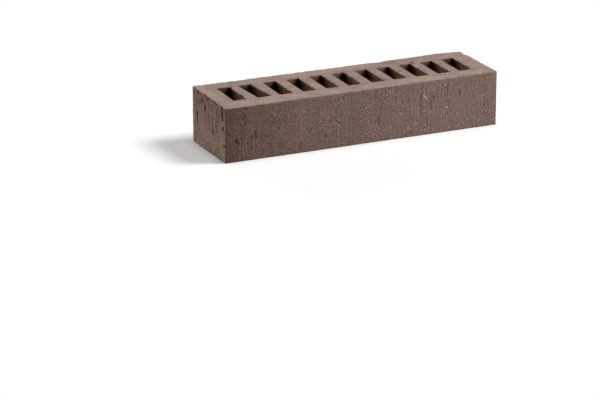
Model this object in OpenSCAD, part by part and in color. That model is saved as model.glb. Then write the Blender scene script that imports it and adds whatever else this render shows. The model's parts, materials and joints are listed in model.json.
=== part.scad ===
// Slotted clay facing brick, a wire-cut slice of an extruded column.
// The brick lies on its lower bed: X runs along the face, Y to the back and Z up.
// The origin is at the middle of the lower bed.

/* [Brick] */
// Length of the front face
brick_length = 240; // [180:1:330]
// Distance from the front face to the back face
brick_width = 65; // [55:1:115]
// Height between the two cut beds
brick_height = 45; // [36:1:75]

/* [Slots] */
// Width of a slot, along the brick
slot_width = 11; // [7:0.5:14]
// Clay between two neighbouring slots
web = 9; // [8:0.5:16]
// Least clay between the outermost slot and the end face
end_wall = 14; // [12:0.5:25]
// Clay between the slots and the front or back face, as the die is drawn
side_wall = 15; // [12:0.5:20]
// How far the whole row of slots came out nearer the back
row_shift = 0.6; // [0:0.1:1.5]
// How far the whole row of slots came out turned, in degrees
row_angle = -0.6; // [-1:0.1:1]
// Radius of the corners in a slot, from the die's core
slot_corner_radius = 1; // [0.4:0.1:3]
// Number of the slot that came out turned, counted from the left
turned_slot = 2; // [1:1:8]
// How far that slot is turned against the row, in degrees
turned_slot_angle = 4.5; // [0:0.5:5]

/* [Edges] */
// Radius of the four upright edges, from the die
upright_radius = 1.2; // [0.5:0.1:4]
// Radius of the arrises round the two beds, where the wire cut
arris_radius = 0.6; // [0.3:0.1:1.5]

/* [Damage] */
// Length of the chip in the upper arris of the right end
chip_length = 11; // [6:0.5:14]
// Depth of that chip, straight into the arris
chip_depth = 1.6; // [0.8:0.1:3]
// Distance from the middle of that chip to the back face
chip_from_back = 9; // [8:0.5:40]
// Length of the flake off the upper arris of the back face
flake_length = 12; // [6:0.5:30]
// Depth of that flake, straight into the arris
flake_depth = 1.5; // [0.8:0.1:3]
// Distance from the middle of that flake to the right end
flake_from_right = 76; // [20:1:120]

/* [Hidden] */
slot_length = brick_width - 2 * side_wall;
slot_pitch = slot_width + web;
slot_count = floor((brick_length - 2 * end_wall + web) / slot_pitch);
first_slot_x = -slot_pitch * (slot_count - 1) / 2;
// How far a cutting shape runs past the face it cuts
overrun = 5;
$fn = 64;

// Rectangle about the origin with round corners
module rounded_rectangle(size_x, size_y, radius) {
    square([size_x - 2 * radius, size_y], center = true);
    square([size_x, size_y - 2 * radius], center = true);
    for (x = [-1, 1], y = [-1, 1])
        translate([x * (size_x / 2 - radius), y * (size_y / 2 - radius)])
            circle(r = radius);
}

// The slice of clay column, with its upright edges and arrises rounded
module blank() {
    intersection() {
        linear_extrude(height = brick_height)
            rounded_rectangle(brick_length, brick_width, upright_radius);
        translate([0, brick_width / 2, brick_height / 2])
            rotate([90, 0, 0])
                linear_extrude(height = brick_width)
                    rounded_rectangle(brick_length, brick_height, arris_radius);
        translate([-brick_length / 2, 0, brick_height / 2])
            rotate([90, 0, 90])
                linear_extrude(height = brick_length)
                    rounded_rectangle(brick_width, brick_height, arris_radius);
    }
}

// One slot through both beds, as wide as its core
module slot() {
    translate([0, 0, -overrun])
        linear_extrude(height = brick_height + 2 * overrun)
            rounded_rectangle(slot_width, slot_length, slot_corner_radius);
}

// The row of slots, moved and turned as one, with the slot that came out turned in it
module slot_row() {
    translate([0, row_shift, 0])
        rotate([0, 0, row_angle])
            for (i = [1 : slot_count])
                translate([first_slot_x + (i - 1) * slot_pitch, 0, 0])
                    rotate([0, 0, i == turned_slot ? turned_slot_angle : 0])
                        slot();
}

// Shell-shaped break of a given length and depth in an arris at the origin,
// opening along the direction between the arris's two faces
module shell_break(length, depth, direction) {
    radius = (length * length / 4 + depth * depth) / (2 * depth);
    translate((radius - depth) * direction / norm(direction))
        sphere(r = radius);
}

// The chip at the right end and the flake at the back
module breaks() {
    translate([brick_length / 2, brick_width / 2 - chip_from_back, brick_height])
        shell_break(chip_length, chip_depth, [1, 0, 1]);
    translate([brick_length / 2 - flake_from_right, brick_width / 2, brick_height])
        shell_break(flake_length, flake_depth, [0, 1, 1]);
}

module brick() {
    color([0.53, 0.45, 0.41])
        difference() {
            blank();
            slot_row();
            breaks();
        }
}

brick();
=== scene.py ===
import itertools
import json
import math

import bpy
import numpy as np
from mathutils import Matrix, Vector


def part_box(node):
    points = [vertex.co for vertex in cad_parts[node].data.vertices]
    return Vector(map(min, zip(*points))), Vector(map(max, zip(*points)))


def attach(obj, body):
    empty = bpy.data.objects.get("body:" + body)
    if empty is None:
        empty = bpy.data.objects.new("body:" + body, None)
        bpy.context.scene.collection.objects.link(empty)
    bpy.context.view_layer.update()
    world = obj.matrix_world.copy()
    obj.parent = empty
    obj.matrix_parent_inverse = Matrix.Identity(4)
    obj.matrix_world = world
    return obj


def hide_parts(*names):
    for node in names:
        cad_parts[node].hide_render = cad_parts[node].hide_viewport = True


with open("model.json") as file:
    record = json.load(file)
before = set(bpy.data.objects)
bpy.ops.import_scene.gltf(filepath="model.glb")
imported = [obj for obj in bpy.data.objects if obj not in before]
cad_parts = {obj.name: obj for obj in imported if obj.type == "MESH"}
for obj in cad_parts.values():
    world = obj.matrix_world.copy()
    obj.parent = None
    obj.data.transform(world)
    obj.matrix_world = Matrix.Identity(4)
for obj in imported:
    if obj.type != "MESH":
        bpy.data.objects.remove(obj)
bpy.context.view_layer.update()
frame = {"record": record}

# Sizes are in millimetres, in the frame of the CAD model, unless a comment says otherwise.
MM = 0.001
LOW, HIGH = (np.array(corner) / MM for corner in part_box("brick"))
LENGTH, WIDTH, HEIGHT = HIGH - LOW

# Slots, as in the CAD model: a row that is moved and turned as one, with one slot turned in it
SLOT_HALF = np.array([5.5, 17.5])
SLOT_CENTRES = np.array(
    [np.mean(hole["box_m"], axis=0)[:2] / MM for hole in frame["record"]["physics"]["openings"]]
)
ROW_MIDDLE = SLOT_CENTRES.mean(axis=0)
ROW_SPAN = SLOT_CENTRES[-1] - SLOT_CENTRES[0]
ROW_ANGLE = math.atan2(ROW_SPAN[1], ROW_SPAN[0])
# The extruder's cores let each slot stray a little from its even place along the row
SLOT_STRAY = np.array([0.4, -0.2, 0.1, 0.4, 0.6, 0.2, 0.7, 0.3, 0.1, -0.4, -1.1])
ROW_PLACES = (SLOT_CENTRES - ROW_MIDDLE) @ ROW_SPAN / np.linalg.norm(ROW_SPAN) + SLOT_STRAY
SLOT_CORNER_RADIUS = 1.0
TURNED_SLOT = 1
TURNED_ANGLE = math.radians(4.5)
# Distances beyond the row and beyond the turned slot within which the clay turns with them
ROW_FADE = 12.0
TURN_FADE = 8.0

# Edges
UPRIGHT_RADIUS = 1.2
ARRIS_RADIUS = 0.6
RIM_RADIUS = 0.2
# How much the uprights' radius wanders, as a share of it, and the size of the lumps
UPRIGHT_WANDER = (0.2, 5.0)
# Grain of a ragged edge: its share of the radius and the size of the lumps
EDGE_GRAINS = ((0.3, 1.6), (0.4, 4.5))
# Depth of the nicks in the arrises: left and right, then front and back
ARRIS_NICKS = ((0.7, 0.7), (0.3, 1.1))
# Distance from a corner where the nicks set in
NICKS_FROM = (2.0, 8.0)
# Depth of the nicks in the slots' rims: on the left and at both ends, then on the right
RIM_NICKS = (0.2, 0.7)
# About half the distance between nicks
ARRIS_NICK_SIZE = 2.0
RIM_NICK_SIZE = 1.5
# What gathers the nicks, its weight and its size, and the values between which a nick sets in
NICK_DRIFT = (0.25, 10.0)
NICK_ONSET = (0.0, 0.5)
# Torn clay: the depths of nick between which it shows, the distances in radii where it fades out, and
# how dark the shade painted in its notches is
TORN_NICK = (0.2, 0.7)
TORN_REACH = (0.5, 1.1)
TORN_SHADE = 0.85
# The upper bed's back left corner, which the kiln's heat left higher
WARP_LIFT = 0.7
# Worn corner at the back right of the upper bed, and the burr along the back arris beside it
WORN_DEPTH = 0.7
WORN_REACH = 13.0
# Depth of the clay that sinks and rises with the bed there
WORN_BELOW = 6.0
BURR_HEIGHT = 0.5
BURR_ENDS = (82.0, 102.0)
# Distance over which the burr's ends rise, and the distances from the back face where it sets in
BURR_FADE = 3.0
BURR_FROM = (3.0, 0.5)
# The burr's mean height and its waves, as shares of its height, and the size of the waves
BURR_WAVES = (0.6, 0.4, 2.8)

# Breaks in the upper arrises, as in the CAD model: length, depth, place and the way they open
BREAKS = (
    (11.0, 1.6, (HIGH[0], HIGH[1] - 9.0, HIGH[2]), (1, 0, 1)),
    (12.0, 1.5, (HIGH[0] - 76.0, HIGH[1], HIGH[2]), (0, 1, 1)),
)
# Height and size of the lumps in a break
BREAK_LUMPS = (0.25, 2.2)

# Mesh: cells are closer together near every edge
CELL = 0.85
CROWDING = 0.45
WALL_CELLS = 50
SLOT_CELLS = 17
SLOT_CROWDING = 0.8
# Least length that anything is divided by, and slack in finding the points of an edge
TINY = 1e-9
SLACK = 1e-6

# Drag grooves in the extruded faces: place along the face, bottom, top, half width and depth
LEFT_GROOVES = (
    (-27.5, 25.0, 29.2, 1.4, 0.9),
    (-26.0, 32.8, 45.5, 1.3, 0.9),
    (-14.8, 21.0, 27.0, 0.9, 0.2),
    (-8.4, 16.0, 23.2, 1.5, 0.4),
    (-8.4, 15.5, 26.5, 1.3, 0.2),
    (-6.0, 34.8, 38.8, 1.6, 0.2),
    (1.0, 28.4, 31.0, 1.1, 0.18),
    (7.0, 31.2, 37.0, 1.4, 0.48),
    (11.0, 5.0, 20.0, 0.8, 0.14),
    (11.2, 37.0, 40.8, 1.6, 0.42),
    (13.0, 39.0, 43.0, 1.1, 0.2),
    (16.2, 35.6, 38.6, 1.5, 0.4),
    (17.3, 4.5, 9.8, 1.0, 0.22),
    (19.0, 11.5, 15.0, 1.0, 0.26),
    (22.8, 5.0, 38.0, 1.0, 0.2),
    (22.9, 22.2, 27.2, 1.4, 0.9),
    (22.9, 16.6, 22.4, 1.3, 0.5),
    (23.2, 7.5, 12.5, 1.2, 0.36),
)
FRONT_GROOVES = (
    (-110.9, 15.6, 19.4, 0.75, 0.48),
    (-109.8, 13.7, 16.9, 0.75, 0.44),
    (-97.2, 17.7, 20.4, 1.2, 0.45),
    (-94.2, 20.0, 23.4, 0.75, 0.42),
    (-93.5, 17.6, 21.0, 0.75, 0.42),
    (-81.0, 1.0, 12.0, 0.5, 0.15),
    (-56.5, 3.0, 8.0, 0.45, 0.25),
    (-54.6, 3.0, 8.0, 0.45, 0.25),
    (-38.5, 4.0, 13.0, 0.5, 0.15),
    (-12.5, 0.8, 5.0, 0.6, 0.2),
    (-0.4, 40.5, 45.0, 0.45, 0.2),
    (13.3, 15.2, 23.2, 0.45, 0.35),
    (43.0, 3.0, 12.0, 0.6, 0.17),
    (50.8, 21.0, 36.0, 0.5, 0.3),
    (51.0, 8.0, 21.0, 0.45, 0.2),
    (56.4, 8.0, 13.6, 0.45, 0.24),
    (59.9, 19.8, 28.8, 0.45, 0.34),
    (61.6, 30.0, 31.9, 0.7, 0.34),
    (62.6, 27.6, 31.9, 0.7, 0.42),
    (75.0, 32.0, 45.0, 0.45, 0.27),
    (75.2, 24.4, 26.8, 0.5, 0.3),
    (85.5, 28.8, 34.2, 0.65, 0.3),
    (113.0, 42.0, 44.6, 1.2, 0.18),
)
# Pits in a face: place along the face, place up or across it, radius and depth
LEFT_PITS = (
    (-29.8, 13.6, 1.7, 0.52), (-14.0, 43.8, 1.1, 0.27), (-1.3, 44.1, 1.4, 0.5), (2.8, 43.2, 1.4, 0.45),
    (14.5, 43.8, 1.2, 0.27), (20.0, 43.5, 1.8, 0.4),
)
FRONT_PITS = (
    (-117.3, 12.2, 0.8, 0.25), (-33.0, 11.3, 0.9, 0.6), (-31.6, 35.4, 0.9, 0.27), (66.8, 36.3, 0.7, 0.25),
    (86.9, 24.5, 0.75, 0.3), (105.0, 35.8, 0.75, 0.27),
)
TOP_PITS = (
    (-92.4, 19.2, 1.6, 0.8), (-66.5, -27.0, 1.4, 0.4), (-6.2, -25.3, 1.6, 0.6), (10.8, -15.5, 1.7, 0.6),
    (50.2, 2.5, 1.7, 0.5), (69.0, 19.5, 2.4, 2.4),
)
# The outer faces: the axis across each, the way out of the clay, and the grooves and pits seen on it
FACES = (
    (0, -1, LEFT_GROOVES, LEFT_PITS), (1, -1, FRONT_GROOVES, FRONT_PITS), (0, 1, (), ()), (1, 1, (), ()),
)
# Depth at which the painted shade in a groove or pit is as dark as it gets
HOLLOW_SHADE_DEPTH = 0.9
# Sideways wander of a groove and its radians to the millimetre, and the distances past and within its ends
# over which it tapers out
GROOVE_WANDER = (0.25, 0.35)
GROOVE_TAPER = (1.0, 2.0)
# Grooves at random: room from their bottom to the upper bed, and ranges of length, half width and depth
GROOVE_ROOM = 12.0
GROOVE_LENGTHS, GROOVE_HALF_WIDTHS, GROOVE_DEPTHS = (5.0, 20.0), (0.5, 0.7), (0.2, 0.6)
# Pits at random: the ranges of radius and depth
PIT_RADII, PIT_DEPTHS = (0.8, 1.2), (0.15, 0.45)
# Distance of the grooves' bottoms and the pits from the beds, how many grooves and pits are on an end and
# on a long face, and how many pits are on the beds
RANDOM_MARGIN = 2.0
END_COUNTS, FACE_COUNTS = (8, 10), (14, 34)
BED_COUNT = 24
# Relief of the outer faces: size along X, Y and Z of the short drags, the two long ones, sand and waves
SHORT_SIZE = (1.7, 1.7, 6.0)
LONG_SIZES = ((1.7, 1.7, 22.0), (3.4, 3.4, 40.0))
SAND_SIZE = (1.7, 1.7, 2.2)
WAVE_SIZE = (30.0, 30.0, 45.0)
# Heights of the short drags and the waves, and the share of each long drag
SHORT_HEIGHT, WAVE_HEIGHT = 0.05, 0.1
LONG_SHARE = 0.6
# Heights of the long drags and of the sand on a long face, and how much more on an end
LONG_HEIGHT, SAND_HEIGHT = (0.03, 0.15), (0.07, -0.03)
# Relief of the beds: share and size of the two sands, size of the wire's lines and of the swells, and the
# heights of sand, lines and swells
BED_SANDS = ((0.6, 1.3), (0.4, 0.9))
WIRE_SIZE = (14.0, 1.4, 5.0)
SWELL_SIZE = 22.0
BED_HEIGHTS = (0.03, 0.02, 0.06)
# Relief of the slots' walls: height and size of the drags and of the lumps
SLOT_RELIEF = ((0.1, (1.6, 1.6, 25.0)), (0.06, 2.0))

# Pale grains and a pale scratch on the front: how pale, and both ends, along the face and up it
PALE_MARKS = (
    (0.6, 1.8, 30.1, 2.7, 30.1),
    (0.6, 9.9, 10.8, 10.3, 10.4),
    (0.7, 25.4, 40.4, 25.8, 40.1),
    (0.8, 32.2, 20.9, 33.2, 21.0),
    (0.9, 53.4, 33.3, 56.3, 30.4),
    (1.0, 73.7, 20.8, 74.9, 20.5),
    (0.7, 75.9, 3.9, 76.7, 3.2),
    (0.4, 76.8, 13.0, 77.2, 13.0),
    (0.4, 81.0, 27.2, 81.4, 27.2),
)
# Distances from a mark's middle line where it starts to fade and where it ends
PALE_EDGE = (0.25, 0.6)
# Painted shade in the marks that are seen: the depth at which one is as dark as it gets, the width over
# which its edge fades, how much the skin's dashes and specks push that edge, and how far from it the
# distance is kept
MARK_DEPTH = 0.6
MARK_FADE = 0.3
MARK_DASHES, MARK_CRISP = 1.2, 2.0
MARK_REACH = 3.0
# Painted shade on the front, darker towards its left end: its share of the darkest clay, and the stretch
# where it fades out
FRONT_PAINTED_SHADE = ((0.44, -120.0, -88.0), (0.26, -78.0, -52.0), (0.3, -60.0, 90.0))
# Painted shade on the left end, darker towards the top: its share and the heights where it sets in
END_PAINTED_SHADE = (0.76, 2.0, 46.0)
# Painted shade low on the front half of the left end: its share and where it fades out across the brick
END_PAINTED_SHADE_LOW = (0.3, -35.0, 30.0)
# The flash on the beds' ends: where it sets in along the brick, and its share at the front and at the back
# of the left end, then of the right one
BED_ENDS = (92.0, 114.0)
BED_FLASH = ((0.2, 0.08), (0.0, 0.45))
# The flash along the back, the same to the left and right: share, middle and reach of each patch, and
# where it sets in across the brick
BACK_FLASH = ((0.29, 80.0, 34.0), (0.24, 53.0, 10.0))
BACK_FROM = (8.0, 22.0)
# The flash round the slots: its share, and where it fades out across the brick and along it
ROW_FLASH = (0.24, 18.5, 26.0, 108.0, 118.0)
# The flash along the front of the beds: its share and where it sets in
RIM_FLASH = (0.16, 28.5, 32.5)
# Painted shade in the slots: its share far down the left and front walls, and that depth
SLOT_SHADE_DEEP = 0.3
SLOT_SHADE_DEPTH = 9.0
# Along the right wall, painted shade darkest at the back corner: where it thins out, from the back corner,
# how much nearer the corner at the rim, and how deep that rim is
SLOT_SHADE_REACH = (3.5, 20.5)
SLOT_SHADE_NEARER = 5.0
SLOT_SHADE_RIM = 3.0
# On the back wall, painted as the right wall's shadow: how unshaded it is in the right corner, and how much
# less shaded for each time the distance from that corner holds the depth
SLOT_SHADOW_BACK = (0.08, 0.5)
# How unshaded the back wall of each slot is against the least shaded, from the left
BACK_UNSHADED = np.array([0.48, 0.52, 0.6, 0.9, 0.95, 1, 1, 0.95, 0.9, 0.9, 0.65])
# Least depth in a slot that the distance from its corner is divided by
SLOT_SHADE_LEAST = 0.1
# Share of the slots' warm shade tint on their front and back walls
BACK_SHADE_TINT = 0.5

# Seeds of the random draws and of the noise in each part of the shape
SEED = 7
WALL_SEED, BED_SEED, SLOT_SEED = 1, 11, 21
UPRIGHT_SEED, ARRIS_SEED, RIM_SEED, BREAK_SEED, BURR_SEED = 40, 50, 60, 70, 80
# Numbers that mix a point's place and seed, how far bits are moved while they mix, and the bits kept
PLACE_PRIMES = np.array([73856093, 19349663, 83492791])
SEED_PRIME = 50331653
MIXING = ((13, 1274126177), (16, 2246822519))
MIXED_BITS = 0x7FFFFFFF
KEPT_BITS = 0xFFFFFF


# Noise

def lattice(cells, seed):
    """A fixed random number from -1 to 1 for each whole-number point."""
    mixed = cells @ PLACE_PRIMES + seed * SEED_PRIME
    for shift, prime in MIXING:
        mixed = (mixed ^ (mixed >> shift)) * prime & MIXED_BITS
    return (mixed & KEPT_BITS) / (KEPT_BITS // 2) - 1


def noise(points, size, seed):
    """Smooth noise from -1 to 1, with lumps of about that size along X, Y and Z."""
    scaled = points / np.asarray(size, float)
    cells = np.floor(scaled).astype(np.int64)
    share = scaled - cells
    share = share * share * (3 - 2 * share)
    total = np.zeros(len(points))
    for corner in itertools.product((0, 1), repeat=3):
        weight = np.prod(np.where(corner, share, 1 - share), axis=1)
        total += weight * lattice(cells + np.array(corner), seed)
    return total


def smooth(value, start, end):
    """0 before start, 1 after end and a smooth rise between them."""
    share = np.clip((value - start) / (end - start), 0, 1)
    return share * share * (3 - 2 * share)


# The plain brick as a grid of points and quads

def spaced(start, end, cells, crowding=CROWDING):
    """Grid lines from start to end, closer together near both."""
    share = np.linspace(0, 1, cells + 1)
    return start + (end - start) * (share - crowding * np.sin(2 * np.pi * share) / (2 * np.pi))


def lines_between(breaks):
    """Grid lines through all the breaks, with cells of about the common size."""
    parts = [spaced(a, b, round((b - a) / CELL)) for a, b in zip(breaks, breaks[1:])]
    return np.concatenate([parts[0][:1], *(part[1:] for part in parts)])


def breaks_with(fixed, wished):
    """The fixed breaks, and those of the wished ones that leave room for cells."""
    breaks = list(fixed)
    for place in wished:
        if min(abs(place - other) for other in breaks) > 2 * CELL:
            breaks.append(place)
    return sorted(breaks)


def loop_round(first_i, last_i, first_j, last_j):
    """Grid places round a rectangle, anticlockwise seen from above."""
    return np.array(
        [(i, first_j) for i in range(first_i, last_i)]
        + [(last_i, j) for j in range(first_j, last_j)]
        + [(i, last_j) for i in range(last_i, first_i, -1)]
        + [(first_i, j) for j in range(last_j, first_j, -1)]
    )


class PlainBrick:
    """Sharp-edged brick: its points and quads, and for each point the bed it lies on (1 upper, -1 lower
    or 0), the way out of the clay across its wall, and the slot whose wall it lies on, or -1."""

    def __init__(self):
        sides = np.add.outer(ROW_PLACES, SLOT_HALF[0] * np.array([-1, 1])).ravel()
        across = (LOW[1], -SLOT_HALF[1], SLOT_HALF[1], HIGH[1])
        along = (LOW[0], *sides, HIGH[0])
        self.xs = lines_between(breaks_with(along, (groove[0] for groove in FRONT_GROOVES)))
        self.ys = lines_between(breaks_with(across, (groove[0] for groove in LEFT_GROOVES)))
        self.points = np.zeros((0, 3))
        self.quads = []
        first_j, last_j = (self.line(self.ys, y) for y in (-SLOT_HALF[1], SLOT_HALF[1]))
        slots = [
            (self.line(self.xs, x - SLOT_HALF[0]), self.line(self.xs, x + SLOT_HALF[0]))
            for x in ROW_PLACES
        ]
        solid = np.ones((len(self.xs) - 1, len(self.ys) - 1), bool)
        for first_i, last_i in slots:
            solid[first_i:last_i, first_j:last_j] = False
        lower, upper = self.bed(solid, LOW[2]), self.bed(solid, HIGH[2])
        self.quads[0] = self.quads[0][:, ::-1]
        self.bed_sign = np.where(np.arange(len(self.points)) < lower.max() + 1, -1, 1)

        outline = loop_round(0, len(self.xs) - 1, 0, len(self.ys) - 1)
        levels = spaced(LOW[2], HIGH[2], WALL_CELLS)
        slot_levels = spaced(LOW[2], HIGH[2], SLOT_CELLS, SLOT_CROWDING)
        made = [self.wall(outline, levels, lower, upper)]
        for first_i, last_i in slots:
            inline = loop_round(first_i, last_i, first_j, last_j)[::-1]
            made.append(self.wall(inline, slot_levels, lower, upper))
        count = len(self.points)
        self.bed_sign = np.pad(self.bed_sign, (0, count - len(self.bed_sign)))
        self.out = np.zeros((count, 3))
        self.slot = np.full(count, -1)
        outer = made[0].ravel()
        for axis in (0, 1):
            place = self.points[outer, axis]
            self.out[outer, axis] = np.isclose(place, HIGH[axis]) * 1.0 - np.isclose(place, LOW[axis])
        for number, rows in enumerate(made[1:]):
            rows = rows.ravel()
            place = self.points[rows, :2] - [ROW_PLACES[number], 0]
            self.out[rows, :2] = -np.sign(place) * np.isclose(np.abs(place), SLOT_HALF)
            self.slot[rows] = number
        self.quads = np.concatenate(self.quads)

    @staticmethod
    def line(lines, value):
        """Number of the grid line at that value."""
        return int(np.abs(lines - value).argmin())

    def add(self, places):
        """Adds points and returns their numbers."""
        first = len(self.points)
        self.points = np.concatenate([self.points, places])
        return np.arange(first, first + len(places))

    def bed(self, solid, height):
        """One bed, open at the slots. Returns the number of each grid place's point."""
        used = np.zeros((len(self.xs), len(self.ys)), bool)
        for i, j in itertools.product((slice(-1), slice(1, None)), repeat=2):
            used[i, j] |= solid
        i, j = np.nonzero(used)
        numbers = np.full(used.shape, -1)
        numbers[i, j] = self.add(np.column_stack([self.xs[i], self.ys[j], np.full(len(i), height)]))
        corners = (numbers[:-1, :-1], numbers[1:, :-1], numbers[1:, 1:], numbers[:-1, 1:])
        self.quads.append(np.column_stack([corner[solid] for corner in corners]))
        return numbers

    def wall(self, loop, levels, lower, upper):
        """The wall that joins the two beds along a loop, the clay on its left seen from above."""
        i, j = loop.T
        rows = [lower[i, j]]
        for z in levels[1:-1]:
            rows.append(self.add(np.column_stack([self.xs[i], self.ys[j], np.full(len(i), z)])))
        rows = np.array([*rows, upper[i, j]])
        ahead = np.roll(rows, -1, axis=1)
        quads = (rows[:-1], ahead[:-1], ahead[1:], rows[1:])
        self.quads.append(np.column_stack([corner.ravel() for corner in quads]))
        return rows


# Shape: round edges, the turned slot and the breaks

def round_over(distance, radius):
    """How far a point at that distance from a sharp edge moves along its face, and how far it sinks
    into it, where the edge is rounded to that radius."""
    inside = np.clip(1 - distance / radius, 0, 1)
    return (1 - math.sqrt(0.5)) * radius * inside, radius * (1 - np.sqrt(1 - inside**2 / 2))


def ragged(points, radius, nicks, size, seed):
    """Radius of a worn edge at points along it, and the part of it that is nicks of about that size."""
    grain = sum(share * noise(points, lump, seed + more) for more, (share, lump) in enumerate(EDGE_GRAINS))
    weight, drift = NICK_DRIFT
    gathered = noise(points, size, seed + 2) + weight * noise(points, drift, seed + 3)
    nick = nicks * smooth(gathered, *NICK_ONSET)
    return radius * (1 + grain) + nick, nick


def torn_by(far, radius, nick):
    """How torn the clay is at that distance from a ragged edge, from 0 to 1."""
    return smooth(nick, *TORN_NICK) * (1 - smooth(far / radius, *TORN_REACH))


def round_uprights(brick, moved):
    """Rounds the four upright edges of the outer faces."""
    share, lump = UPRIGHT_WANDER
    radius = UPRIGHT_RADIUS * (1 + share * noise(brick.points, lump, UPRIGHT_SEED))
    side = np.sign(brick.points)
    for along, across in ((0, 1), (1, 0)):
        far = HIGH[along] - np.abs(brick.points[:, along])
        on_face = (brick.slot < 0) & (brick.out[:, across] != 0)
        if along == 1:
            on_face &= brick.out[:, 1] == 0
        shift, sink = round_over(far, radius)
        moved[:, along] -= np.where(on_face, side[:, along] * shift, 0)
        moved[:, across] -= np.where(on_face, side[:, across] * sink, 0)


def round_arrises(brick, moved):
    """Rounds the edges between the beds and the outer faces, and returns how torn they are."""
    torn = np.zeros(len(moved))
    middle = (LOW + HIGH) / 2
    side = np.sign(brick.points - middle)
    faces = np.where(side > 0, HIGH, LOW)
    on_bed = brick.bed_sign != 0
    for axis in (0, 1):
        edge = faces.copy()
        edge[:, 1 - axis] = brick.points[:, 1 - axis]
        from_corner = HIGH[1 - axis] - np.abs(edge[:, 1 - axis])
        nicks = np.where(side[:, axis] > 0, *ARRIS_NICKS[axis][::-1]) * smooth(from_corner, *NICKS_FROM)
        radius, nick = ragged(edge, ARRIS_RADIUS, nicks, ARRIS_NICK_SIZE, ARRIS_SEED)
        on_wall = (brick.slot < 0) & (brick.out[:, axis] != 0) & ~on_bed
        for mine, along, across in ((on_bed, axis, 2), (on_wall, 2, axis)):
            far = np.abs(faces[:, along] - brick.points[:, along])
            shift, sink = round_over(far, radius)
            moved[:, along] -= np.where(mine, side[:, along] * shift, 0)
            moved[:, across] -= np.where(mine, side[:, across] * sink, 0)
            torn = np.maximum(torn, mine * torn_by(far, radius, nick))
    return torn


def round_slots(brick, moved, nearest):
    """Rounds the corners inside the slots and the rims at the beds, and returns how torn the rims are."""
    from_slot = brick.points[:, :2] - np.column_stack([ROW_PLACES[nearest], np.zeros(len(nearest))])
    side = np.sign(from_slot)
    on_wall = brick.slot >= 0
    for along, across in ((0, 1), (1, 0)):
        mine = on_wall & (brick.out[:, across] != 0)
        if along == 1:
            mine &= brick.out[:, 1] == 0
        shift, sink = round_over(SLOT_HALF[along] - np.abs(from_slot[:, along]), SLOT_CORNER_RADIUS)
        moved[:, along] -= np.where(mine, side[:, along] * shift, 0)
        moved[:, across] += np.where(mine, brick.out[:, across] * sink, 0)

    beyond = np.maximum(np.abs(from_slot) - SLOT_HALF, 0) * side
    far = np.hypot(*beyond.T)
    away = np.where(on_wall[:, None], -brick.out[:, :2], beyond)
    away /= np.maximum(np.hypot(*away.T), TINY)[:, None]
    rim = brick.points.copy()
    rim[:, :2] -= beyond
    rise = np.sign(brick.points[:, 2] - HEIGHT / 2)
    rim[:, 2] = np.where(rise > 0, HIGH[2], LOW[2])
    at_right = (side[:, 0] > 0) & (np.abs(from_slot[:, 0]) >= SLOT_HALF[0] - SLACK)
    nicks = np.where(at_right, *RIM_NICKS[::-1])
    radius, nick = ragged(rim, RIM_RADIUS, nicks, RIM_NICK_SIZE, RIM_SEED)
    on_bed = brick.bed_sign != 0
    shift, sink = round_over(far, radius)
    moved[:, :2] += np.where(on_bed[:, None], away * shift[:, None], 0)
    moved[:, 2] -= np.where(on_bed, rise * sink, 0)
    only_wall = on_wall & ~on_bed
    depth = HEIGHT / 2 - np.abs(brick.points[:, 2] - HEIGHT / 2)
    shift, sink = round_over(depth, radius)
    moved[:, 2] -= np.where(only_wall, rise * shift, 0)
    moved[:, :2] += np.where(only_wall[:, None], away * sink[:, None], 0)
    return (on_bed | on_wall) * torn_by(np.where(on_bed, far, depth), radius, nick)


def turn_about(brick, moved, centre, half, turn, fade):
    """Turns a rectangle about its centre, with the clay round it and less and less of it further out."""
    beyond = np.maximum(np.abs(brick.points[:, :2] - centre) - half, 0).max(axis=1)
    share = 1 - smooth(beyond, 0, fade)
    x, y = (moved[:, :2] - centre).T
    moved[:, 0] = centre[0] + x * np.cos(share * turn) - y * np.sin(share * turn)
    moved[:, 1] = centre[1] + x * np.sin(share * turn) + y * np.cos(share * turn)
    return share


def set_slots(brick, moved):
    """Turns the slot that came out askew, then turns and moves the whole row."""
    turn_about(brick, moved, (ROW_PLACES[TURNED_SLOT], 0), SLOT_HALF, TURNED_ANGLE, TURN_FADE)
    row_half = SLOT_HALF + (ROW_PLACES[-1], 0)
    share = turn_about(brick, moved, (0, 0), row_half, ROW_ANGLE, ROW_FADE)
    moved[:, :2] += share[:, None] * ROW_MIDDLE


def warp(moved):
    """Lifts the back left of the upper bed, and less and less of the clay away from it."""
    along = (HIGH[0] - moved[:, 0]) / LENGTH
    across = (moved[:, 1] - LOW[1]) / WIDTH
    moved[:, 2] += WARP_LIFT * along**2 * across * (moved[:, 2] - LOW[2]) / HEIGHT


def wear_corner(moved):
    """Lowers the worn corner of the upper bed and raises the burr beside it, with the clay below."""
    x, y, z = moved.T
    worn = 1 - smooth(np.hypot(x - HIGH[0], y - HIGH[1]), 0, WORN_REACH)
    start, end = BURR_ENDS
    burr = smooth(x, start - BURR_FADE, start + BURR_FADE)
    burr *= 1 - smooth(x, end - BURR_FADE, end + BURR_FADE)
    sets_in, full = BURR_FROM
    mean, wave, size = BURR_WAVES
    burr *= smooth(y, HIGH[1] - sets_in, HIGH[1] - full) * (mean + wave * noise(moved, size, BURR_SEED))
    moved[:, 2] += smooth(z, HIGH[2] - WORN_BELOW, HIGH[2]) * (BURR_HEIGHT * burr - WORN_DEPTH * worn)


def break_arrises(moved):
    """Pushes the clay in where pieces broke off."""
    height, size = BREAK_LUMPS
    for length, depth, place, opening in BREAKS:
        radius = (length**2 / 4 + depth**2) / (2 * depth)
        centre = np.array(place) + (radius - depth) * np.array(opening) / np.linalg.norm(opening)
        ray = moved - centre
        far = np.linalg.norm(ray, axis=1)
        rough = radius + height * noise(moved, size, BREAK_SEED)
        push = np.maximum(rough - far, 0)
        moved += ray / far[:, None] * push[:, None]


# Relief: drag lines, grooves, pits and grain

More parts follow.
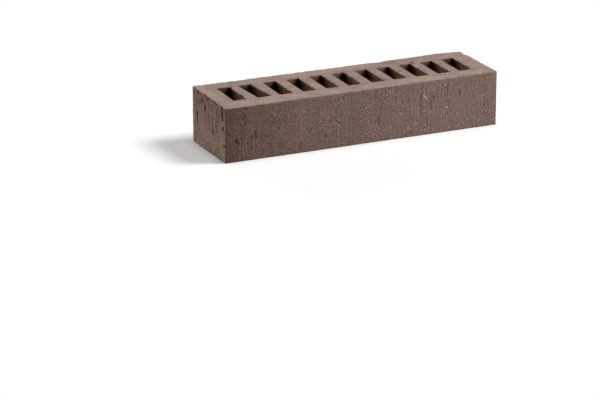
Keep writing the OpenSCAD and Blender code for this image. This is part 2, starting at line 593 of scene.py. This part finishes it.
def groove_depth(along, height, grooves):
    """Depth of drag grooves that run up a face and taper out at both ends."""
    depth = np.zeros(len(along))
    sway, turns = GROOVE_WANDER
    past, within = GROOVE_TAPER
    for place, bottom, top, half_width, deepest in grooves:
        wander = sway * np.sin(turns * height + place)
        across = np.exp(-(((along - place - wander) / half_width) ** 2))
        run = smooth(height, bottom - past, bottom + within)
        run *= 1 - smooth(height, top - within, top + past)
        depth = np.maximum(depth, deepest * across * run)
    return depth


def pit_depth(along, across, pits):
    """Depth of round pits in a face."""
    depth = np.zeros(len(along))
    for place, level, radius, deepest in pits:
        far = np.hypot(along - place, across - level) / radius
        depth = np.maximum(depth, deepest * np.clip(1 - far**2, 0, 1))
    return depth


def scattered_grooves(generator, half_length, count):
    """Grooves at random places of a face, for the sides that the photograph doesn't show."""
    bottoms = generator.uniform(RANDOM_MARGIN, HEIGHT - GROOVE_ROOM, count)
    places = generator.uniform(-half_length, half_length, count)
    ranges = (GROOVE_LENGTHS, GROOVE_HALF_WIDTHS, GROOVE_DEPTHS)
    lengths, half_widths, depths = (generator.uniform(*limits, count) for limits in ranges)
    return list(zip(places, bottoms, bottoms + lengths, half_widths, depths))


def scattered_pits(generator, half_length, low, high, count):
    """Small pits at random places of a face."""
    ranges = ((-half_length, half_length), (low, high), PIT_RADII, PIT_DEPTHS)
    return list(zip(*(generator.uniform(*limits, count) for limits in ranges)))


def wall_relief(brick):
    """Height of the outer faces' relief at each point, and how deep the pits and grooves at random are."""
    points = brick.points
    generator = np.random.default_rng(SEED)
    ends = np.abs(brick.out[:, 0])
    sizes = (SHORT_SIZE, *LONG_SIZES, SAND_SIZE, WAVE_SIZE)
    short, long, longer, sand, waves = (
        noise(points, size, WALL_SEED + more) for more, size in enumerate(sizes)
    )
    drag = LONG_SHARE * long + LONG_SHARE * longer
    drag_height, sand_height = (plain + more * ends for plain, more in (LONG_HEIGHT, SAND_HEIGHT))
    height = SHORT_HEIGHT * short + drag_height * drag + sand_height * sand + WAVE_HEIGHT * waves
    sunk = np.zeros(len(points))
    dark = np.zeros(len(points))
    for axis, way, grooves, pits in FACES:
        half_length = HIGH[1 - axis]
        few, many = END_COUNTS if axis == 0 else FACE_COUNTS
        more_grooves = () if grooves else scattered_grooves(generator, half_length, few)
        more_pits = scattered_pits(generator, half_length, RANDOM_MARGIN, HEIGHT - RANDOM_MARGIN, many)
        mine = (brick.slot < 0) & (brick.out[:, axis] == way)
        along, up = points[:, 1 - axis], points[:, 2]
        seen = np.maximum(groove_depth(along, up, grooves), pit_depth(along, up, pits))
        scattered = np.maximum(groove_depth(along, up, more_grooves), pit_depth(along, up, more_pits))
        sunk = np.maximum(sunk, mine * np.maximum(seen, scattered))
        dark = np.maximum(dark, mine * scattered)
    return height - sunk, dark


def painted_mark_shade(brick):
    """How far each point lies inside the nearest groove or pit that is seen, with a distance outside as a
    negative number, and how dark the shade painted in that mark is."""
    inside = np.full(len(brick.points), -MARK_REACH)
    dark = np.zeros(len(brick.points))
    for axis, way, grooves, pits in FACES:
        mine = (brick.slot < 0) & (brick.out[:, axis] == way)
        along, up = brick.points[:, 1 - axis], brick.points[:, 2]
        rounds = [(place, level - size, level + size, size, depth) for place, level, size, depth in pits]
        for place, bottom, top, half_width, depth in (*grooves, *rounds):
            middle = np.clip(up, bottom + half_width, top - half_width)
            depth_in = half_width - np.hypot(along - place, up - middle)
            nearer = mine & (depth_in > inside)
            inside[nearer] = depth_in[nearer]
            dark[nearer] = min(depth / MARK_DEPTH, 1)
    return inside, dark


def bed_relief(brick, points):
    """Height of the cut beds' relief at each point, and the part of it that is pits."""
    generator = np.random.default_rng(SEED + 1)
    sand = sum(share * noise(points, size, BED_SEED + more) for more, (share, size) in enumerate(BED_SANDS))
    wire = noise(points, WIRE_SIZE, BED_SEED + 2)
    swells = noise(points, SWELL_SIZE, BED_SEED + 3)
    height = sum(high * part for high, part in zip(BED_HEIGHTS, (sand, wire, swells)))
    pits = [*TOP_PITS, *scattered_pits(generator, HIGH[0], LOW[1], HIGH[1], BED_COUNT)]
    sunk = pit_depth(points[:, 0], points[:, 1] * brick.bed_sign, pits)
    return height - sunk, sunk


def slot_relief(brick):
    """Height of the drag lines down the slots' walls."""
    return sum(
        height * noise(brick.points, size, SLOT_SEED + more)
        for more, (height, size) in enumerate(SLOT_RELIEF)
    )


def flash_and_painted_shade(brick):
    """How dark the kiln's flashing left the beds, and how much shade is painted on the front and the left
    end, from 0 to 1.
    """
    x, y, z = brick.points.T
    front = sum(share * (1 - smooth(x, start, end)) for share, start, end in FRONT_PAINTED_SHADE)
    share, start, end = END_PAINTED_SHADE
    rise = smooth(z, start, end)
    aside, start, end = END_PAINTED_SHADE_LOW
    left = share * rise + aside * (1 - smooth(y, start, end)) * (1 - rise)
    far = np.abs(x)
    by_end = [at_front + (at_back - at_front) * (y - LOW[1]) / WIDTH for at_front, at_back in BED_FLASH]
    ends = np.where(x < 0, *by_end) * smooth(far, *BED_ENDS)
    patches = sum(share * np.exp(-(((far - middle) / reach) ** 2)) for share, middle, reach in BACK_FLASH)
    back = patches * smooth(y * brick.bed_sign, *BACK_FROM)
    share, start, end, row_start, row_end = ROW_FLASH
    row = share * (1 - smooth(np.abs(y), start, end)) * (1 - smooth(far, row_start, row_end))
    share, start, end = RIM_FLASH
    rim = share * smooth(-y * brick.bed_sign, start, end)
    bed = np.max([ends, back, row, rim], axis=0)
    on_outer = brick.slot < 0
    # Painted shade on the front and the left end
    walls = on_outer * np.maximum((brick.out[:, 1] < 0) * front, (brick.out[:, 0] < 0) * left)
    return np.where(brick.bed_sign != 0, bed, walls)


def painted_slot_shade(brick, nearest):
    """How much shade is painted on the slots' walls: more with depth, and most in the corner at the back
    right.
    """
    x, y, z = brick.points.T
    depth = HEIGHT / 2 - np.abs(z - HEIGHT / 2)
    from_right = SLOT_HALF[0] - x + ROW_PLACES[nearest]
    from_back = SLOT_HALF[1] - y
    right = 1 - smooth(from_back + SLOT_SHADE_NEARER * (1 - smooth(depth, 0, SLOT_SHADE_RIM)), *SLOT_SHADE_REACH)
    corner, slope = SLOT_SHADOW_BACK
    unshaded = np.clip(corner + slope * from_right / np.maximum(depth, SLOT_SHADE_LEAST), 0, 1)
    back = 1 - BACK_UNSHADED[nearest] * unshaded
    slot_shade = SLOT_SHADE_DEEP * smooth(depth, 0, SLOT_SHADE_DEPTH)
    slot_shade = np.where(brick.out[:, 0] < 0, right, slot_shade)
    slot_shade = np.where(brick.out[:, 1] < 0, back, slot_shade)
    return (brick.slot >= 0) * (brick.bed_sign == 0) * slot_shade


def brick_mesh():
    """The brick as one closed mesh, with its surfaces' attributes for the clay."""
    brick = PlainBrick()
    moved = brick.points.copy()
    nearest = np.abs(brick.points[:, :1] - ROW_PLACES).argmin(axis=1)
    round_uprights(brick, moved)
    torn = round_arrises(brick, moved)
    torn = np.maximum(torn, round_slots(brick, moved, nearest))
    set_slots(brick, moved)
    warp(moved)
    wear_corner(moved)

    on_bed = brick.bed_sign != 0
    in_slot = brick.slot >= 0
    on_wall = np.any(brick.out != 0, axis=1) & ~in_slot
    wall, wall_sunk = wall_relief(brick)
    bed, bed_sunk = bed_relief(brick, moved)
    out_height = np.where(in_slot, slot_relief(brick), np.where(on_wall, wall, 0))
    moved += brick.out * out_height[:, None]
    moved[:, 2] += np.where(on_bed, brick.bed_sign * bed, 0)
    break_arrises(moved)
    moved[:, 2] = np.maximum(moved[:, 2], LOW[2])

    mesh = bpy.data.meshes.new("brick_clay")
    mesh.from_pydata((moved * MM).tolist(), [], brick.quads.tolist())
    mesh.shade_smooth()
    sunk = np.where(on_wall, wall_sunk, np.where(on_bed, bed_sunk, 0))
    in_mark, mark = painted_mark_shade(brick)
    attributes = {
        "cut": on_bed * 1.0,
        # Painted shade in the grooves, pits and torn nicks
        "hollow_shade": np.maximum(np.clip(sunk / HOLLOW_SHADE_DEPTH, 0, 1), TORN_SHADE * torn),
        "dragged": on_wall * np.abs(brick.out[:, 0]),
        # Painted shade in the slots
        "slot_shade": painted_slot_shade(brick, nearest),
        # The beds' kiln flashing, and painted shade on the front and the left end
        "flash_and_shade": flash_and_painted_shade(brick),
        "front": on_wall * (brick.out[:, 1] < 0),
        "in_mark": in_mark,
        "mark": mark,
        # Where the slots' warm shade tint is painted, less on their front and back walls
        "inside": in_slot * (brick.bed_sign == 0) * np.where(brick.out[:, 1] == 0, 1, BACK_SHADE_TINT),
    }
    for name, values in attributes.items():
        mesh.attributes.new(name, "FLOAT", "POINT").data.foreach_set("value", values.astype(np.float32))
    return mesh


# Materials

class Nodes:
    """Adds shader nodes to a tree and joins them."""

    def __init__(self, tree):
        self.tree = tree
        tree.nodes.clear()

    def add(self, kind, inputs=(), **settings):
        """A node of that kind. Inputs are values or other nodes' outputs, by name or number."""
        node = self.tree.nodes.new("ShaderNode" + kind)
        for name, value in settings.items():
            setattr(node, name, value)
        for name, value in dict(inputs).items():
            if isinstance(value, bpy.types.NodeSocket):
                self.tree.links.new(value, node.inputs[name])
            else:
                node.inputs[name].default_value = value
        return node

    def math(self, operation, *values, clamp=False):
        """One number out of others."""
        return self.add("Math", enumerate(values), operation=operation, use_clamp=clamp).outputs[0]

    def mix(self, share, first, second, blend="MIX"):
        """One colour out of two."""
        inputs = {0: share, 6: first, 7: second}
        return self.add("Mix", inputs, data_type="RGBA", blend_type=blend, clamp_factor=True).outputs[2]

    def span(self, value, low, high, to_low=0.0, to_high=1.0):
        """A number's range stretched to another, with its ends kept."""
        inputs = {0: value, 1: low, 2: high, 3: to_low, 4: to_high}
        return self.add("MapRange", inputs, clamp=True).outputs[0]

    def around_zero(self, *parts):
        """A sum of textures from 0 to 1, each less a half and times its weight."""
        total = -0.5 * sum(weight for _, weight in parts)
        for texture, weight in parts:
            total = self.math("MULTIPLY_ADD", texture, weight, total)
        return total

    def noise(self, place, scale, detail, rough, dimensions="3D"):
        """Noise about as fine as that many lumps to the millimetre."""
        inputs = {"Vector": place, "Scale": scale, "Detail": detail, "Roughness": rough}
        return self.add("TexNoise", inputs, noise_dimensions=dimensions).outputs["Fac"]

    def wall_noise(self, place, scale, drawn, detail=0.0, rough=0.6, turn=0.0):
        """Noise laid flat on the walls, with its lattice turned and its lumps drawn out up them."""
        x, y, z = self.add("SeparateXYZ", {0: place}).outputs
        flat = self.add("CombineXYZ", {0: self.math("ADD", x, y), 1: self.math("MULTIPLY", z, 1 / drawn)})
        inputs = {"Vector": flat.outputs[0], "Angle": math.radians(turn)}
        turned = self.add("VectorRotate", inputs, rotation_type="Z_AXIS")
        return self.noise(turned.outputs[0], scale, detail, rough, "2D")

    def attribute(self, name):
        """A number that the mesh holds."""
        return self.add("Attribute", attribute_name=name).outputs["Fac"]


# Colours in linear light, and tints that other colours are multiplied by
CUT_CLAY = (0.339, 0.2475, 0.2055)
CUT_WARM, CUT_COOL = (1.022, 0.995, 0.967), (0.98, 1.005, 1.03)
SKIN_CLAY = (0.2965, 0.2025, 0.171)
SKIN_WARM, SKIN_COOL = (0.98, 1.0, 0.93), (1.02, 1.0, 1.07)
# The ends' clay is lighter than the skin, so that under the painted shade higher up the left end is painted
# lighter at the bottom
END_CLAY = (0.390, 0.269, 0.212)
# Painted shade in grooves, pits and torn nicks
HOLLOW_SHADE_COLOUR = (0.058, 0.020, 0.009)
PALE_GRAIN = (0.84, 0.60, 0.52)
# Tints of the painted shade on the skin and of the kiln's flashing on the cut beds
SKIN_PAINTED_SHADE, CUT_FLASH = (0.52, 0.455, 0.41), (0.42, 0.435, 0.46)
# Warm tint painted on the slots' walls for the colour of the shade inside them
SLOT_SHADE_TINT = (1.21, 1.03, 0.765)
# Grains of sand to the millimetre, and what X, Y and Z are multiplied by to draw out sand and blots
SAND_SCALE = 2.0
SAND_STRETCH = (1.0, 1.0, 0.62)
BLOT_STRETCH = (0.7, 1.4, 1.0)
# Noise: lumps to the millimetre, detail and roughness
FINE = (1.1, 1.0, 0.6)
PATCHES = (0.16, 3.0, 0.6)
BLOTS = (0.14, 4.0, 0.65)
CLOUDS = (0.03, 3.0, 0.55)
HUES = (0.08, 1.0, 0.5)
CLUSTERS = (0.06, 1.0, 0.5)
# Noise on the walls: lumps to the millimetre, times drawn out, detail and roughness
STREAKS = (0.5, 25.0, 2.0, 0.65)
DASHES = (0.5, 5.0, 1.0, 0.6)
# Values of the hue's noise where the clay is warmest and coolest
HUE_ENDS = (0.3, 0.7)
# Two layers of the skin's crisp specks: specks to the millimetre and the lattice's turn in degrees, and
# how many times both are drawn out
CRISP_LAYERS = ((1.0, 24.0), (1.25, 61.0))
CRISP_DRAWN = 2.0
# How much of each texture shows on the skin, on the ends and on the cut beds
SKIN_GRAIN, SKIN_CRISP, SKIN_STREAKS, SKIN_TONE = 0.05, 1.3, 0.36, 0.35
END_GRAIN, END_CRISP, END_TONE, END_STREAKS, END_DASHES = 0.2, 1.2, 0.3, 0.75, 0.6
CUT_GRAIN, CUT_FINE, CUT_TONE, CUT_BLOTS = 0.4, 1.1, 1.0, 0.8
# Single pale and dark grains of the skin: how much they show, and the chances between which a grain is one
SKIN_PALE, SKIN_DARK = 0.8, -0.4
PALE_CHANCE, DARK_CHANCE = (0.95, 0.98), (0.06, 0.03)
# The darkest and palest tone of each surface, and their shares of its colour
SKIN_TONES, SKIN_SHADES = (-0.65, 1.1), (0.285, 2.21)
END_TONES, END_SHADES = (-0.5, 0.5), (0.35, 1.65)
CUT_TONES, CUT_SHADES = (-0.4, 0.4), (0.6, 1.4)
# How much of the painted shade in grooves, pits and torn nicks shows where it is darkest
HOLLOW_SHADE_SHARE = 0.95
# Bump, in millimetres: sand, fine specks and streaks, and the share of sand and specks on the ends
BUMP_SAND, BUMP_FINE, BUMP_STREAKS = -0.12, 0.15, 0.3
BUMP_ON_ENDS = 0.35
# Fired clay is rough, from the darkest sand to the palest, and hardly shines
ROUGHNESS = (0.84, 0.96)
GLOSS = 0.08
# How strong the skin's grain is where the painted shade leaves it bare and where it is darkest
SHADE_CONTRAST = (0.96, 1.2)
# Values of the clusters' noise between which the grain grows, and how strong it is at both
CLUSTER_ENDS = (0.35, 0.65)
CLUSTER_CONTRAST = (0.5, 1.35)


def shade(colour, factor=1.0):
    """A colour made lighter or darker, with its alpha."""
    return (*(factor * part for part in colour), 1.0)


def between(nodes, value, tones, clay, shades):
    """Clay from its darkest shade to its palest one, as a value goes from one tone to the other."""
    return nodes.mix(nodes.span(value, *tones), *(shade(clay, part) for part in shades))


def pale_marks(nodes, place):
    """How pale the front's grains and scratch are, and 0 away from them."""
    level = nodes.add("VectorMath", {0: place, 1: (1, 0, 1)}, operation="MULTIPLY").outputs[0]
    palest = 0.0
    for pale, x, z, to_x, to_z in PALE_MARKS:
        run = Vector((to_x - x, 0, to_z - z))
        ray = nodes.add("VectorMath", {0: level, 1: (x, 0, z)}, operation="SUBTRACT").outputs[0]
        along = nodes.add("VectorMath", {0: ray, 1: run}, operation="DOT_PRODUCT").outputs["Value"]
        share = nodes.span(along, 0.0, run.length_squared)
        foot = nodes.add("VectorMath", {0: run, "Scale": share}, operation="SCALE").outputs[0]
        far = nodes.add("VectorMath", {0: ray, 1: foot}, operation="DISTANCE").outputs["Value"]
        palest = nodes.math("MAXIMUM", nodes.span(far, *PALE_EDGE, pale, 0.0), palest)
    return palest


def clay_material():
    """Matt fired clay: sandy skin with drag streaks on the extruded faces, and paler, finer cut beds."""
    material = bpy.data.materials.new("fired_clay")
    material.use_nodes = True
    nodes = Nodes(material.node_tree)
    metres = nodes.add("TexCoord").outputs["Object"]
    place = nodes.add("VectorMath", {0: metres, "Scale": 1 / MM}, operation="SCALE").outputs[0]
    drawn = nodes.add("VectorMath", {0: place, 1: SAND_STRETCH}, operation="MULTIPLY").outputs[0]
    wide = nodes.add("VectorMath", {0: place, 1: BLOT_STRETCH}, operation="MULTIPLY").outputs[0]
    cut, hollow_shade, front, dragged = (nodes.attribute(name) for name in ("cut", "hollow_shade", "front", "dragged"))
    skin = nodes.math("SUBTRACT", 1.0, cut)

    sand = nodes.add("TexVoronoi", {"Vector": drawn, "Scale": SAND_SCALE})
    grain, chance, _ = nodes.add("SeparateColor", {0: sand.outputs["Color"]}).outputs
    pale_flecks = nodes.span(chance, *PALE_CHANCE)
    dark_flecks = nodes.span(chance, *DARK_CHANCE)
    fine = nodes.noise(drawn, *FINE)
    layers = [nodes.wall_noise(place, scale, CRISP_DRAWN, turn=turn) for scale, turn in CRISP_LAYERS]
    crisp = nodes.math("MULTIPLY", nodes.math("ADD", *layers), 0.5)
    patches, clouds, hue, clusters = (
        nodes.noise(place, *kind) for kind in (PATCHES, CLOUDS, HUES, CLUSTERS)
    )
    blots = nodes.noise(wide, *BLOTS)
    streaks, dashes = (nodes.wall_noise(place, *kind) for kind in (STREAKS, DASHES))
    flash_and_shade = nodes.attribute("flash_and_shade")

    tone = nodes.math("MULTIPLY_ADD", clouds, 0.5, nodes.math("MULTIPLY", patches, 0.5))
    sandy = nodes.around_zero(
        (grain, SKIN_GRAIN), (crisp, SKIN_CRISP), (streaks, SKIN_STREAKS), (tone, SKIN_TONE)
    )
    sandy = nodes.math("MULTIPLY_ADD", pale_flecks, SKIN_PALE, sandy)
    sandy = nodes.math("MULTIPLY_ADD", dark_flecks, SKIN_DARK, sandy)
    sandy = nodes.math("MULTIPLY", sandy, nodes.span(flash_and_shade, 0.0, 1.0, *SHADE_CONTRAST))
    sandy = nodes.math("MULTIPLY", sandy, nodes.span(clusters, *CLUSTER_ENDS, *CLUSTER_CONTRAST))
    skin_colour = between(nodes, sandy, SKIN_TONES, SKIN_CLAY, SKIN_SHADES)
    lined = nodes.around_zero(
        (grain, END_GRAIN), (crisp, END_CRISP), (tone, END_TONE), (streaks, END_STREAKS),
        (dashes, END_DASHES),
    )
    end_colour = between(nodes, lined, END_TONES, END_CLAY, END_SHADES)
    smoother = nodes.around_zero((grain, CUT_GRAIN), (fine, CUT_FINE), (tone, CUT_TONE), (blots, CUT_BLOTS))
    cut_colour = between(nodes, smoother, CUT_TONES, CUT_CLAY, CUT_SHADES)
    coolness = nodes.span(hue, *HUE_ENDS)
    cut_tint = nodes.mix(coolness, shade(CUT_WARM), shade(CUT_COOL))
    skin_tint = nodes.mix(coolness, shade(SKIN_WARM), shade(SKIN_COOL))
    colour = nodes.mix(cut, nodes.mix(dragged, skin_colour, end_colour), cut_colour)
    colour = nodes.mix(1.0, colour, nodes.mix(cut, skin_tint, cut_tint), "MULTIPLY")
    # Painted shade in grooves, pits and torn nicks, with the seen marks' edges pushed by dashes and specks
    pushed = nodes.around_zero((dashes, MARK_DASHES), (crisp, MARK_CRISP))
    in_mark = nodes.math("ADD", nodes.attribute("in_mark"), pushed)
    bottom = nodes.span(in_mark, -MARK_FADE / 2, MARK_FADE / 2)
    hollow_shade = nodes.math("MAXIMUM", hollow_shade, nodes.math("MULTIPLY", bottom, nodes.attribute("mark")))
    colour = nodes.mix(nodes.math("MULTIPLY", hollow_shade, HOLLOW_SHADE_SHARE), colour, shade(HOLLOW_SHADE_COLOUR))
    colour = nodes.mix(nodes.math("MULTIPLY", front, pale_marks(nodes, place)), colour, shade(PALE_GRAIN))
    # Kiln flashing on the beds, and painted shade on the front and the left end
    flash_and_shade_tint = nodes.mix(cut, shade(SKIN_PAINTED_SHADE), shade(CUT_FLASH))
    colour = nodes.mix(flash_and_shade, colour, flash_and_shade_tint, "MULTIPLY")
    colour = nodes.mix(nodes.attribute("inside"), colour, shade(SLOT_SHADE_TINT), "MULTIPLY")
    # Painted shade in the slots, darkest deep in the back right corners
    unshaded = nodes.math("SUBTRACT", 1.0, nodes.attribute("slot_shade"))
    colour = nodes.add("VectorMath", {0: colour, "Scale": unshaded}, operation="SCALE").outputs[0]

    specks = nodes.math("MULTIPLY", fine, BUMP_FINE)
    rough = nodes.math("MULTIPLY_ADD", sand.outputs["Distance"], BUMP_SAND, specks)
    rough = nodes.math("MULTIPLY", rough, nodes.span(dragged, 0.0, 1.0, 1.0, BUMP_ON_ENDS))
    lines = nodes.math("MULTIPLY", streaks, nodes.math("MULTIPLY", skin, BUMP_STREAKS))
    bump = nodes.add("Bump", {"Strength": 1.0, "Distance": MM, "Height": nodes.math("ADD", rough, lines)})
    shader = nodes.add("BsdfPrincipled", {
        "Base Color": colour, "Roughness": nodes.span(grain, 0.0, 1.0, *ROUGHNESS),
        "Normal": bump.outputs[0], "Specular IOR Level": GLOSS,
    })
    nodes.add("OutputMaterial", {"Surface": shader.outputs[0]})
    return material


# Stage

FLOOR_SEEN = (0.97, 0.97, 0.97, 1)
FLOOR_BOUNCE = (0.6, 0.6, 0.6, 1)
# Half the floor's width, in metres
FLOOR_HALF = 12.0


def seen_directly(nodes):
    """1 for what the camera sees straight, in a reflection or through glass, and 0 for light."""
    path = nodes.add("LightPath").outputs
    seen = nodes.math("ADD", path["Is Camera Ray"], path["Is Glossy Ray"])
    return nodes.math("ADD", seen, path["Is Transmission Ray"], clamp=True)


def add_floor():
    """A plain white floor that keeps the shadow and throws back only some of the light."""
    material = bpy.data.materials.new("floor")
    material.use_nodes = True
    nodes = Nodes(material.node_tree)
    colour = nodes.mix(seen_directly(nodes), FLOOR_BOUNCE, FLOOR_SEEN)
    shader = nodes.add("BsdfDiffuse", {"Color": colour})
    nodes.add("OutputMaterial", {"Surface": shader.outputs[0]})
    mesh = bpy.data.meshes.new("floor")
    corners = [(-1, -1), (1, -1), (1, 1), (-1, 1)]
    mesh.from_pydata([(x * FLOOR_HALF, y * FLOOR_HALF, 0) for x, y in corners], [], [(0, 1, 2, 3)])
    mesh.materials.append(material)
    floor = bpy.data.objects.new("floor", mesh)
    bpy.context.scene.collection.objects.link(floor)


# Light: the even sky's level, the far soft lights and the near lamps
SKY_LEVEL = 0.03
# Far lights: name, degrees round from the front, degrees up, width in degrees and level
FAR_LIGHTS = (("key", 68, 48, 24, 0.72), ("overhead", 0, 90, 28, 0.39), ("behind", 190, 13, 24, 0.33))
# Near lamps: name, place and the point it faces in metres, width and height in metres and watts
LAMPS = (
    ("lamp_right", (0.30, -0.35, 0.25), (0.10, 0.0, 0.02), (0.30, 0.30), 0.27),
    ("lamp_left", (-0.45, 0.15, 0.04), (-0.12, 0.0, 0.0), (0.24, 0.06), 0.2),
)


def direction(round_by, up_by):
    """The way out from the brick, turned round from the front and up by those angles."""
    level = math.cos(up_by)
    return Vector((math.sin(round_by) * level, -math.cos(round_by) * level, math.sin(up_by)))


def add_lamp(light, facing, place=(0, 0, 0)):
    """Hangs a light that shines along the opposite of a direction and isn't seen itself."""
    lamp = bpy.data.objects.new(light.name, light)
    lamp.location = place
    lamp.rotation_mode = "QUATERNION"
    lamp.rotation_quaternion = facing.to_track_quat("Z", "Y")
    lamp.visible_camera = False
    bpy.context.scene.collection.objects.link(lamp)


def add_light():
    """Soft lights from the right, overhead and behind, two lamps, and a weak sky that shows as white."""
    world = bpy.data.worlds.new("studio")
    world.use_nodes = True
    nodes = Nodes(world.node_tree)
    strength = nodes.span(seen_directly(nodes), 0.0, 1.0, SKY_LEVEL, 1.0)
    background = nodes.add("Background", {"Color": (1, 1, 1, 1), "Strength": strength})
    nodes.add("OutputWorld", {"Surface": background.outputs[0]})
    bpy.context.scene.world = world

    for name, round_by, up_by, width, level in FAR_LIGHTS:
        light = bpy.data.lights.new(name, "SUN")
        light.energy = math.pi * level
        light.angle = math.radians(width)
        add_lamp(light, direction(math.radians(round_by), math.radians(up_by)))
    for name, place, aim, size, watts in LAMPS:
        light = bpy.data.lights.new(name, "AREA")
        light.shape = "RECTANGLE"
        light.size, light.size_y = size
        light.energy = watts
        add_lamp(light, Vector(place) - Vector(aim), place)


# Camera, fitted to the brick's corners in the photograph

CAMERA_AZIMUTH = math.radians(-25.0)
CAMERA_ELEVATION = math.radians(19.07)
CAMERA_DISTANCE = 2633.2
CAMERA_ASIDE = -36.78
CAMERA_RAISED = -54.43
FOCAL_PIXELS = 3268.4
IMAGE_WIDTH = 600
SENSOR_WIDTH = 36.0
# Distance in metres beyond which nothing is drawn
CLIP_END = 100.0


def add_camera():
    """The photograph's viewpoint."""
    back = direction(CAMERA_AZIMUTH, CAMERA_ELEVATION)
    right = Vector((math.cos(CAMERA_AZIMUTH), math.sin(CAMERA_AZIMUTH), 0))
    up = back.cross(right)
    data = bpy.data.cameras.new("camera")
    data.sensor_width = SENSOR_WIDTH
    data.lens = SENSOR_WIDTH * FOCAL_PIXELS / IMAGE_WIDTH
    data.clip_end = CLIP_END
    camera = bpy.data.objects.new("camera", data)
    place = back * CAMERA_DISTANCE + right * CAMERA_ASIDE + up * CAMERA_RAISED
    turn = Matrix((right, up, back)).transposed()
    camera.matrix_world = Matrix.Translation(place * MM) @ turn.to_4x4()
    bpy.context.scene.collection.objects.link(camera)
    bpy.context.scene.camera = camera


brick = bpy.data.objects.new("brick_clay", brick_mesh())
brick.data.materials.append(clay_material())
bpy.context.scene.collection.objects.link(brick)
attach(brick, "root")
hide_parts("brick")

add_floor()
add_light()
add_camera()
bpy.context.scene.view_settings.view_transform = "Standard"
